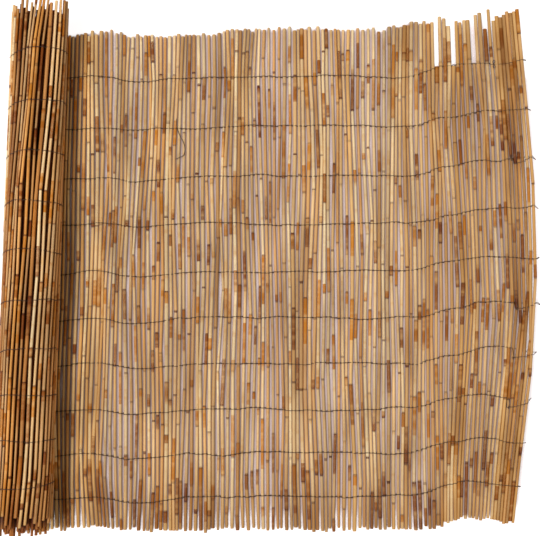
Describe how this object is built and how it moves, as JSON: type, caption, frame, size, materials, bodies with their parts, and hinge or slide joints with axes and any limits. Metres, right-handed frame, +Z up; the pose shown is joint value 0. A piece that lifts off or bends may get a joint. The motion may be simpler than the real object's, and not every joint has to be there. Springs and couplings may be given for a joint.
{
  "type": "reed screen",
  "caption": "Reed screen bound with rows of thin wire, lying part unrolled: a loose roll at one end, a flat sheet, and a free end that curls up a little.",
  "frame": {"origin": "under the middle of the whole object, at the level of the ground it lies on", "axes": "+X along the mat from the roll to the free end, +Y along the reeds, +Z up from the ground"},
  "size_m": [1.0676, 1.0654, 0.1227],
  "materials": {
    "reed": "dry, satin",
    "wire": "dull, weathered"
  },
  "bodies": {
    "root": {"reed_mat": "reed", "front_wire_01": "wire", "front_wire_02": "wire", "front_wire_03": "wire", "front_wire_04": "wire", "front_wire_05": "wire", "front_wire_06": "wire", "front_wire_07": "wire", "front_wire_08": "wire", "front_wire_09": "wire", "front_wire_10": "wire", "back_wire_01": "wire", "back_wire_02": "wire", "back_wire_03": "wire", "back_wire_04": "wire", "back_wire_05": "wire", "back_wire_06": "wire", "back_wire_07": "wire", "back_wire_08": "wire", "back_wire_09": "wire", "back_wire_10": "wire"}
  },
  "joints": []
}
